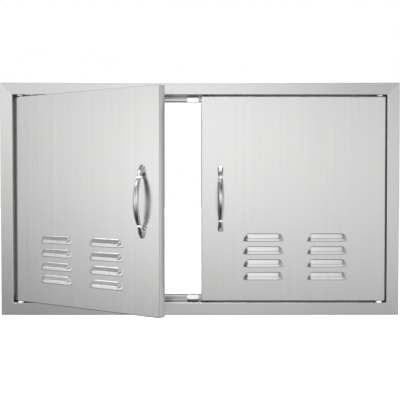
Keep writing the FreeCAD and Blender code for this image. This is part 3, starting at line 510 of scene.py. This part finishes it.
def door_skin(side):
    b = Build()
    x0, x1 = (FREE_X, EDGE_X) if side > 0 else (-EDGE_X, -FREE_X)
    r, rings = 1.6 * MM, 7
    holes_front, holes_back = [], []
    for lx in LOUVRE_X:
        for top in LOUVRE_TOP:
            cx, mouth = side * lx, top - LOUVRE_H / 2
            outer_rings, inner_rings = [], []
            out_plan = louvre_outline(cx, mouth, LOUVRE_END, LOUVRE_H)
            in_plan = louvre_outline(cx, mouth, LOUVRE_END - LOUVRE_METAL, LOUVRE_H - LOUVRE_METAL)
            for s in HOOD_ROWS:
                y = FACE - LOUVRE_OUT * hood_height(s)
                outer_rings.append(b.add([(px + dx * s, y, mouth + dz * s) for px, dx, dz in out_plan]))
                y_in = FACE - (LOUVRE_OUT - LOUVRE_METAL) * hood_height(min(1.0, s * 1.0))
                inner_rings.append(b.add([(px + dx * s, y_in, mouth + dz * s) for px, dx, dz in in_plan]))
            inner_rings.append(b.add([(px + dx, FACE + SKIN, mouth + dz) for px, dx, dz in in_plan]))
            for a, c in zip(outer_rings, outer_rings[1:]):
                b.strip(a, c)
            for a, c in zip(inner_rings, inner_rings[1:]):
                b.strip(c, a)
            # the cut edge of the hood, facing down: right foot to lip, along the lip, and down to the left foot
            out_edge = [ring[0] for ring in reversed(outer_rings)] + outer_rings[0][1:-1] + [ring[-1] for ring in outer_rings]
            in_edge = [ring[0] for ring in reversed(inner_rings[:-1])] + inner_rings[0][1:-1] + [ring[-1] for ring in inner_rings[:-1]]
            # the lip is rolled under: it drops a little below the mouth, most along its crest and not at all at the feet
            before = out_edge
            for t in (22.5, 45.0, 67.5, 90.0):
                c, d = 1.0 - math.cos(math.radians(t)), math.sin(math.radians(t))
                roll = []
                for o, i in zip(out_edge, in_edge):
                    po, pi = b.v[o], b.v[i]
                    droop = LIP_ROLL * min(1.0, max(0.0, (FACE - po[1]) / (2.0 * MM)))
                    k = 0.8 * c
                    roll.append((po[0] + (pi[0] - po[0]) * k, po[1] + (pi[1] - po[1]) * k, po[2] - droop * d))
                now = b.add(roll)
                b.strip(before, now)
                before = now
            drop = b.add([(b.v[i][0], b.v[i][1], b.v[n][2]) for i, n in zip(in_edge, before)])
            b.strip(before, drop, smooth=False)
            b.strip(drop, in_edge, smooth=False)
            # the cut edge of the sheet below the mouth, facing up
            f_r, f_l = inner_rings[-2][0], inner_rings[-2][-1]
            k_r, k_l = inner_rings[-1][0], inner_rings[-1][-1]
            b.face((f_r, f_l, k_l, k_r), False)
            front = [b.v[i] for i in outer_rings[-1]] + [b.v[f_l], b.v[f_r]]
            back = [b.v[i] for i in inner_rings[-1]]
            holes_front.append([(p[0], p[2]) for p in front])
            holes_back.append([(p[0], p[2]) for p in back])
    # round holes for the pull's screws
    for z in (PULL_SCREW_Z, -PULL_SCREW_Z):
        circle = [
            (side * PULL_X + 2.25 * MM * math.cos(t), z + 2.25 * MM * math.sin(t))
            for t in (2 * math.pi * i / 24 for i in range(24))
        ]
        holes_front.append(circle)
        holes_back.append(circle)
        a = b.add([(x, FACE, z2) for x, z2 in circle])
        c = b.add([(x, FACE + SKIN, z2) for x, z2 in circle])
        b.strip(a, c, closed=True)

    def rounded(inset, y, corner, n=5):
        pts = []
        xa, xb, za, zb = x0 + inset, x1 - inset, -DOOR_Z + inset, DOOR_Z - inset
        for cx, cz, start in (
            (xb - corner, zb - corner, 0.0),
            (xa + corner, zb - corner, 90.0),
            (xa + corner, za + corner, 180.0),
            (xb - corner, za + corner, 270.0),
        ):
            for i in range(n + 1):
                t = math.radians(start + 90.0 * i / n)
                pts.append((cx + corner * math.cos(t), y, cz + corner * math.sin(t)))
        return pts

    def plate(y, holes, border):
        outline = [(p[0], p[2]) for p in border]
        verts, edges = [], []
        for loop in [outline] + holes:
            first = len(verts)
            verts.extend(Vector(p) for p in loop)
            edges.extend((first + i, first + (i + 1) % len(loop)) for i in range(len(loop)))
        tv, _, tf, _, _, _ = delaunay_2d_cdt(verts, edges, [], 0, 1e-7)
        ids = b.add([(v.x, y, v.y) for v in tv])
        boxes = [
            (min(p[0] for p in h), max(p[0] for p in h), min(p[1] for p in h), max(p[1] for p in h), h) for h in holes
        ]

        def inside(x, z, loop):
            hit = False
            for i in range(len(loop)):
                (xa, za), (xb, zb) = loop[i], loop[i - 1]
                if (za > z) != (zb > z) and x < (xb - xa) * (z - za) / (zb - za) + xa:
                    hit = not hit
            return hit

        for f in tf:
            mx = sum(tv[i].x for i in f) / len(f)
            mz = sum(tv[i].y for i in f) / len(f)
            if any(lo <= mx <= hi and bo <= mz <= to and inside(mx, mz, h) for lo, hi, bo, to, h in boxes):
                continue
            if not inside(mx, mz, outline):
                continue
            b.face([ids[i] for i in f], False)

    corner = 1.3 * MM
    outer = []
    for k in range(rings + 1):
        t = math.pi / 2 * k / rings
        inset = r * (1 - math.sin(t))
        outer.append(rounded(inset, FACE + r * (1 - math.cos(t)), max(0.12 * MM, corner - inset)))
    plate(FACE, holes_front, outer[0])
    loops = [b.add(p) for p in outer]
    loops.append(b.add(rounded(0.0, DOOR_BACK - 0.25 * MM, corner)))
    loops.append(b.add(rounded(0.12 * MM, DOOR_BACK, corner)))
    loops.append(b.add(rounded(SKIN, DOOR_BACK, max(0.3 * MM, corner - SKIN))))
    ri = r - SKIN
    for k in range(4):
        t = math.pi / 2 * (1 - k / 3)
        inset = SKIN + ri * (1 - math.sin(t))
        loops.append(b.add(rounded(inset, FACE + SKIN + ri * (1 - math.cos(t)), max(0.1 * MM, corner - inset))))
    last = [b.v[i] for i in loops[-1]]
    for a, c in zip(loops, loops[1:]):
        b.strip(a, c, closed=True)
    plate(FACE + SKIN, holes_back, last)
    word = "left" if side < 0 else "right"
    obj = mesh_object(
        word + "_door_skin_pressed", b.v, b.f, MATS["door_steel"], b.smooth, LEFT if side < 0 else Matrix.Identity(4)
    )
    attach(obj, word + "_door")
    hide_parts(word + "_door_skin")
    return obj


# ------------------------------------------------------------------ pulls
def arched_pull(side):
    """Cast arched pull: one swept form with a bead at each neck, ending in flat feet bored for their screws."""
    rise, chord = 20.8 * MM, 66.2 * MM
    big_r = (chord * chord + rise * rise) / (2 * rise)
    last = math.degrees(math.asin(chord / big_r))
    bead_at, bead_half = 25.4, 0.95
    foot, neck, grip = (6.4, 5.5), (4.4, 3.6), (6.8, 4.3)

    def mix(p, q, w):
        return tuple(a + (c - a) * w for a, c in zip(p, q))

    stations = [
        (0.0, grip), (8.2, mix(grip, neck, 0.04)), (14.6, mix(grip, neck, 0.22)), (20.1, mix(grip, neck, 0.6)),
        (23.6, mix(grip, neck, 0.93)), (26.1, neck), (28.6, mix(neck, foot, 0.3)), (31.9, mix(neck, foot, 0.85)),
        (last, foot),
    ]
    degs = np.array([s[0] for s in stations])
    wide = np.array([s[1][0] for s in stations])
    thick = np.array([s[1][1] for s in stations])

    def smooth_read(values, d):
        i = int(np.clip(np.searchsorted(degs, d) - 1, 0, len(degs) - 2))

        def slope(k):
            if k == 0 or k == len(degs) - 1:
                return 0.0
            a = (values[k] - values[k - 1]) / (degs[k] - degs[k - 1])
            c = (values[k + 1] - values[k]) / (degs[k + 1] - degs[k])
            return 0.0 if a * c <= 0 else 2 * a * c / (a + c)

        h = degs[i + 1] - degs[i]
        t = (d - degs[i]) / h
        return float(
            (2 * t**3 - 3 * t**2 + 1) * values[i] + (t**3 - 2 * t**2 + t) * h * slope(i)
            + (-2 * t**3 + 3 * t**2) * values[i + 1] + (t**3 - t**2) * h * slope(i + 1)
        )

    b = Build()
    around = 64
    half = [0.0]
    while half[-1] < last - 1e-6:
        d = half[-1]
        near_bead = abs(d - bead_at) < 1.2
        half.append(min(last, d + (0.08 if near_bead else 0.4)))
    sweep = [-d for d in reversed(half[1:])] + half
    rings = []
    for d in sweep:
        a = abs(d)
        sign = 1.0 if d >= 0 else -1.0
        w, t = smooth_read(wide, a) * MM, smooth_read(thick, a) * MM
        bead = (a - bead_at) / bead_half
        if abs(bead) < 1.0:
            # a half round that stands 0.9 mm proud of the neck
            share = math.sqrt(max(0.0, 1.0 - bead * bead))
            w = max(w, (4.0 + 1.3 * share) * MM)
            t = max(t, (3.4 + 1.9 * share) * MM)
        ang = math.radians(a)
        cy = FACE - (big_r * math.cos(ang) - (big_r - rise))
        cz = big_r * math.sin(ang)
        # towards the foot the section turns flat onto the skin and grows squarer
        u = min(1.0, max(0.0, (a - 27.5) / (last - 27.5)))
        turn = u * u * (3 - 2 * u)
        t = t * (1 + 0.62 * turn)
        lean = ang + (math.pi / 2 - ang) * turn
        vy, vz = -math.cos(lean), math.sin(lean)
        e = 2.25 + 1.6 * turn
        ring = []
        for i in range(around):
            p = 2 * math.pi * i / around
            c, s = math.cos(p), math.sin(p)
            u_ = w * math.copysign(abs(c) ** (2 / e), c)
            v_ = t * math.copysign(abs(s) ** (2 / e), s)
            ring.append((side * PULL_X + u_, min(cy + vy * v_, FACE), sign * (cz + vz * v_)))
        rings.append(b.add(ring))
    for a, c in zip(rings, rings[1:]):
        b.strip(a, c, closed=True)
    for end, ring in ((1.0, rings[-1]), (-1.0, rings[0])):
        def circle(r, y):
            # points in the ring's own order, so that each joins its neighbour
            pts = []
            for i in range(around):
                p = 2 * math.pi * i / around
                pts.append((side * PULL_X + r * math.cos(p), y, end * (PULL_SCREW_Z + r * math.sin(p))))
            return b.add(pts)

        rim = circle(2.05 * MM, FACE)
        b.strip(ring, rim, closed=True, smooth=False)
        deep = circle(2.05 * MM, FACE - 6.4 * MM)
        b.strip(rim, deep, closed=True)
        b.face(deep, False)
    word = "left" if side < 0 else "right"
    obj = mesh_object(
        word + "_pull", b.v, b.f, MATS["handle_chrome"], b.smooth, LEFT if side < 0 else Matrix.Identity(4)
    )
    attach(obj, word + "_door")
    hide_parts(word + "_handle")
    return obj


for side in (-1, 1):
    door_skin(side)
    arched_pull(side)


# ------------------------------------------------------------------ springs of the upper hinge pins
def pin_spring(side):
    """Open coil round the upper hinge pin, between the bracket's lower arm and the clip. The real coil shortens as the
    pin is pulled down; here it is built at one fixed length."""
    b = Build()
    low, high, wire, coil = 192.0 * MM, 217.0 * MM, 0.5 * MM, 4.1 * MM
    turns, per_turn, around = 8.0, 36, 10
    cx, cy = side * -PIVOT[0], PIVOT[1]
    steps = int(turns * per_turn)
    rings = []
    for i in range(steps + 1):
        u = i / steps
        # the end coils lie closed
        closed = 1.0 / turns
        if u < closed:
            rise = 0.04 * u / closed
        elif u > 1.0 - closed:
            rise = 1.0 - 0.04 * (1.0 - u) / closed
        else:
            rise = 0.04 + 0.92 * (u - closed) / (1.0 - 2.0 * closed)
        a = 2.0 * math.pi * turns * u
        z = low + (high - low) * rise
        ring = []
        for k in range(around):
            p = 2.0 * math.pi * k / around
            r = coil + wire * math.cos(p)
            ring.append((cx + side * r * math.cos(a), cy + r * math.sin(a), z + wire * math.sin(p)))
        rings.append(b.add(ring))
    for a, c in zip(rings, rings[1:]):
        b.strip(a, c, closed=True)
    b.face(rings[0], False)
    b.face(rings[-1], False)
    word = "left" if side < 0 else "right"
    obj = mesh_object(
        word + "_pin_spring", b.v, b.f, MATS["spring_steel"], b.smooth, LEFT if side < 0 else Matrix.Identity(4)
    )
    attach(obj, word + "_door")
    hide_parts(word + "_upper_pin_spring")
    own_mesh(obj)
    return obj


for side in (-1, 1):
    pin_spring(side)


# ------------------------------------------------------------------ catch bodies
def catch_body(hand, up):
    """White moulded catch body: level slot outline with softened edges. The magnet and its yoke sit in a pocket
    behind a thin front wall."""
    b = Build()
    cx, cz = hand * 16.3 * MM, up * (OPEN_Z - 9.4 * MM)
    half_w, half_t = 14.4 * MM, 5.0 * MM
    y0, y1 = 9.3 * MM, 38.8 * MM

    def outline(grow, y, n=14):
        r = half_t + grow
        s = half_w - half_t
        pts = []
        for i in range(n + 1):
            t = -math.pi / 2 + math.pi * i / n
            pts.append((cx + s + r * math.cos(t), y, cz + r * math.sin(t)))
        for i in range(n + 1):
            t = math.pi / 2 + math.pi * i / n
            pts.append((cx - s + r * math.cos(t), y, cz + r * math.sin(t)))
        return b.add(pts)

    soft, k = 1.3 * MM, 6
    loops, flat = [outline(-soft, y0)], []
    for i in range(1, k + 1):
        t = math.pi / 2 * i / k
        loops.append(outline(-soft * (1 - math.sin(t)), y0 + soft * (1 - math.cos(t))))
        flat.append(True)
    loops.append(outline(0.0, y1 - 0.3 * MM))
    flat.append(True)
    loops.append(outline(-0.3 * MM, y1))
    flat.append(True)
    for (a, c), sm in zip(zip(loops, loops[1:]), flat):
        b.strip(a, c, closed=True, smooth=sm)
    b.face(loops[0], False)
    # back face with its two screw holes
    back = [(b.v[i][0], b.v[i][2]) for i in loops[-1]]
    holes = []
    for shift in (8.0 * MM, -8.0 * MM):
        hx, hz = cx + shift, up * (OPEN_Z - 6.7 * MM)
        holes.append(
            [
                (hx + 1.15 * MM * math.cos(t), hz + 1.15 * MM * math.sin(t))
                for t in (2 * math.pi * i / 16 for i in range(16))
            ]
        )
    verts, edges = [], []
    for loop in [back] + holes:
        first = len(verts)
        verts.extend(Vector(p) for p in loop)
        edges.extend((first + i, first + (i + 1) % len(loop)) for i in range(len(loop)))
    tv, _, tf, _, _, _ = delaunay_2d_cdt(verts, edges, [], 0, 1e-7)
    ids = b.add([(v.x, y1, v.y) for v in tv])
    for f in tf:
        mx, mz = sum(tv[i].x for i in f) / len(f), sum(tv[i].y for i in f) / len(f)
        if any(math.hypot(mx - h[0][0] + 1.15 * MM, mz - h[0][1]) < 1.1 * MM for h in holes):
            continue
        b.face([ids[i] for i in f], False)
    for h in holes:
        a = b.add([(x, y1, z) for x, z in h])
        c = b.add([(x, y1 - 9.0 * MM, z) for x, z in h])
        b.strip(a, c, closed=True)
        b.face(c, False)
    # the closed pocket for the magnet and yoke
    w, t = 9.05 * MM, 2.85 * MM
    corners = [(cx - w, cz - t), (cx + w, cz - t), (cx + w, cz + t), (cx - w, cz + t)]
    near = b.add([(x, y0 + 0.15 * MM, z) for x, z in corners])
    far = b.add([(x, y0 + 11.5 * MM, z) for x, z in corners])
    b.strip(near, far, closed=True, smooth=False)
    b.face(near, False)
    b.face(far, False)
    name = "%s_%s" % ("top" if up > 0 else "bottom", "left" if hand < 0 else "right")
    obj = mesh_object("catch_body_" + name, b.v, b.f, MATS["catch_plastic"], b.smooth)
    # the pocket's faces look inwards
    bm = bmesh.new()
    bm.from_mesh(obj.data)
    inner = [
        f for f in bm.faces
        if all(abs(v.co.x - cx) <= w + 1e-6 and abs(v.co.z - cz) <= t + 1e-6 and v.co.y < y0 + 12 * MM for v in f.verts)
        and max(v.co.y for v in f.verts) > y0 + 0.1 * MM
    ]
    bmesh.ops.reverse_faces(bm, faces=inner)
    bm.to_mesh(obj.data)
    bm.free()
    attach(obj, "frame")
    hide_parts("catch_housing_" + name)
    return obj


for hand in (-1, 1):
    for up in (1, -1):
        catch_body(hand, up)

# ------------------------------------------------------------------ floor
def pale_floor():
    me = bpy.data.meshes.new("floor")
    bm = bmesh.new()
    bmesh.ops.create_circle(bm, cap_ends=True, radius=7.0, segments=96)
    bm.to_mesh(me)
    bm.free()
    obj = bpy.data.objects.new("floor", me)
    bpy.context.scene.collection.objects.link(obj)
    obj.location = (0.0, 0.0, CAD_BOX[0].z - 0.0002)
    mat, nt, bsdf = new_material("floor_pale")
    co = node(nt, "ShaderNodeTexCoord").outputs["Object"]
    soft = noise(nt, co, 3.0, 2.0, 0.5)
    link(nt, mix_colour(nt, spread(nt, soft, 0.0, 1.0), (0.93, 0.93, 0.93), (0.95, 0.95, 0.95)), bsdf.inputs["Base Color"])
    bsdf.inputs["Roughness"].default_value = 0.9
    bsdf.inputs["Specular IOR Level"].default_value = 0.0
    bsdf.inputs["Emission Color"].default_value = (1.0, 1.0, 1.0, 1.0)
    bsdf.inputs["Emission Strength"].default_value = 0.75
    me.materials.append(mat)
    obj.visible_glossy = False
    return obj


pale_floor()

# ------------------------------------------------------------------ light: a ring of soft studio panels round the part
# (azimuth from the front towards the right, elevation, sharpness, strength)
LOBES = [
    (0.0, -5.0, 45.0, 0.44),
    (13.0, -5.0, 45.0, 0.33),
    (26.0, -5.0, 45.0, 0.25),
    (-26.0, 6.0, 45.0, 0.64),
    (-13.0, 6.0, 45.0, 0.38),
    (0.0, 6.0, 45.0, 1.04),
    (26.0, 6.0, 45.0, 0.65),
    (-26.0, 17.0, 45.0, 0.53),
    (0.0, 55.0, 10.0, 0.11),
    (-50.0, 55.0, 10.0, 0.12),
    (0.0, 85.0, 10.0, 0.12),
    (-69.0, 0.0, 45.0, 1.36),
    (-82.0, 12.0, 45.0, 0.41),
    (-56.0, 12.0, 45.0, 0.12),
    (-75.0, 30.0, 20.0, 0.23),
    (-42.0, -3.0, 20.0, 0.80),
    (106.0, 0.0, 12.0, 0.76),
    (60.0, 0.0, 12.0, 0.46),
    (60.0, 30.0, 10.0, 0.41),
    (60.0, -30.0, 10.0, 0.77),
    (-115.0, 0.0, 12.0, 0.87),
    (-120.0, 35.0, 8.0, 0.38),
    (150.0, 0.0, 6.0, 0.53),
    (180.0, 40.0, 5.0, 0.25),
    (180.0, -40.0, 5.0, 0.18),
    (0.0, -85.0, 8.0, 0.57),
    (-6.0, 88.0, 40.0, 9.00),
    (0.0, 57.0, 24.0, 1.20),
    (-80.0, 30.0, 400.0, 10.00),
    (-38.0, 35.0, 25.0, 0.90),
]
BASE_LIGHT = 0.01


def toward(az, el):
    a, e = math.radians(az), math.radians(el)
    return (math.sin(a) * math.cos(e), -math.cos(a) * math.cos(e), math.sin(e))


def surround():
    world = bpy.data.worlds.new("studio")
    bpy.context.scene.world = world
    world.use_nodes = True
    nt = world.node_tree
    nt.nodes.clear()
    out = nt.nodes.new("ShaderNodeOutputWorld")
    co = node(nt, "ShaderNodeTexCoord").outputs["Generated"]
    total = None
    for az, el, sharp, strength in LOBES:
        dot = node(nt, "ShaderNodeVectorMath", operation="DOT_PRODUCT")
        link(nt, co, dot.inputs[0])
        dot.inputs[1].default_value = toward(az, el)
        e = maths(nt, "EXPONENT", maths(nt, "MULTIPLY_ADD", dot.outputs["Value"], sharp, -sharp))
        total = maths(nt, "MULTIPLY_ADD", e, strength, BASE_LIGHT if total is None else total)
    light = node(nt, "ShaderNodeBackground")
    link(nt, total, light.inputs["Strength"])
    light.inputs["Color"].default_value = (1.0, 1.0, 1.0, 1.0)
    plain = node(nt, "ShaderNodeBackground")
    plain.inputs["Color"].default_value = (1.0, 1.0, 1.0, 1.0)
    plain.inputs["Strength"].default_value = 1.0
    path = node(nt, "ShaderNodeLightPath")
    mixer = node(nt, "ShaderNodeMixShader")
    link(nt, path.outputs["Is Camera Ray"], mixer.inputs[0])
    link(nt, light.outputs[0], mixer.inputs[1])
    link(nt, plain.outputs[0], mixer.inputs[2])
    link(nt, mixer.outputs[0], out.inputs["Surface"])


surround()


def fill_panel():
    """Large soft panel in front, for the white plastic and the floor; the metal takes its light from the surround."""
    data = bpy.data.lights.new("fill_panel", "AREA")
    data.shape = "RECTANGLE"
    data.size, data.size_y = 1.6, 1.2
    data.energy = 34.0
    lamp = bpy.data.objects.new("fill_panel", data)
    bpy.context.scene.collection.objects.link(lamp)
    lamp.location = (0.15, -2.3, 0.25)
    lamp.rotation_euler = (math.radians(90.0 - 6.0), 0.0, math.radians(3.7))
    lamp.visible_glossy = False


fill_panel()

# ------------------------------------------------------------------ camera
cam_data = bpy.data.cameras.new("camera")
cam = bpy.data.objects.new("camera", cam_data)
bpy.context.scene.collection.objects.link(cam)
cam_data.sensor_fit = "HORIZONTAL"
cam_data.sensor_width = 36.0
cam_data.lens = 36.0 * 800.27 / 400.0
cam_data.clip_start, cam_data.clip_end = 0.05, 60.0
cam.location = (-0.0026, -1.8441, 0.0449)
cam.rotation_euler = (math.radians(90.0 - 1.467), 0.0, math.radians(-0.083))
bpy.context.scene.camera = cam

bpy.context.scene.view_settings.view_transform = "Standard"
bpy.context.scene.view_settings.look = "None"
bpy.context.scene.view_settings.exposure = 0.0
bpy.context.scene.view_settings.gamma = 1.0

bpy.context.view_layer.update()
